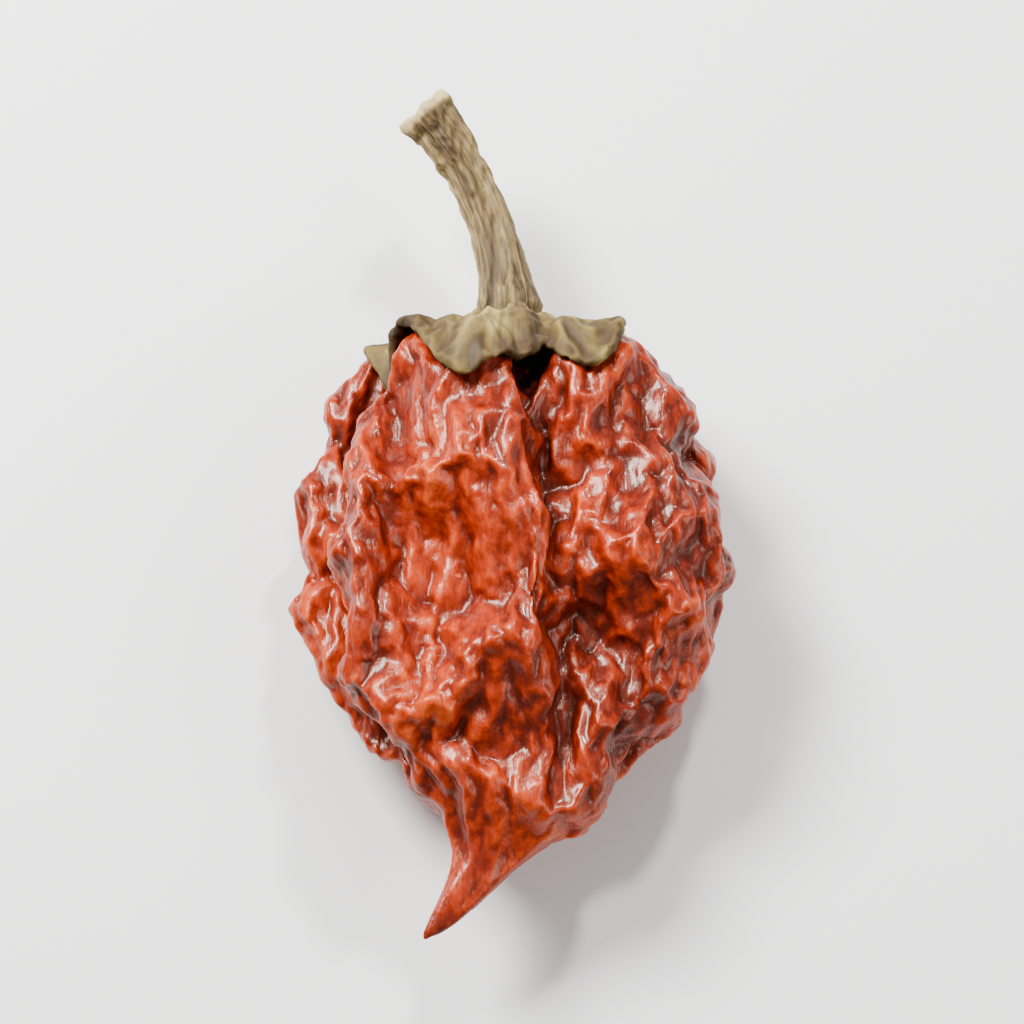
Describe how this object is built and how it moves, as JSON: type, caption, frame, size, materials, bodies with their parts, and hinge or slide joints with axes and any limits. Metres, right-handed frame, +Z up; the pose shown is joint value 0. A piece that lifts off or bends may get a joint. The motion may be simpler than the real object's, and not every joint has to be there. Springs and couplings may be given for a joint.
{
  "type": "dried carolina reaper pepper",
  "caption": "Whole dried chilli pepper lying on its side: a squat, lobed, deeply wrinkled red pod with a bent tail, a toothed calyx and a curved, ridged stem.",
  "frame": {"origin": "under the middle of the whole pepper, on the surface it lies on", "axes": "+Y from the tail to the stem, +Z up from the surface, +X across the pod"},
  "size_m": [0.022, 0.0446, 0.0124],
  "materials": {
    "dried_skin": "glossy, raisin-like wrinkles, orange-red on the crests and maroon in the folds",
    "dry_stem": "matte, dry, straw to olive brown, ridged lengthways"
  },
  "bodies": {
    "root": {"pod": "dried_skin", "calyx_and_stem": "dry_stem"}
  },
  "joints": []
}
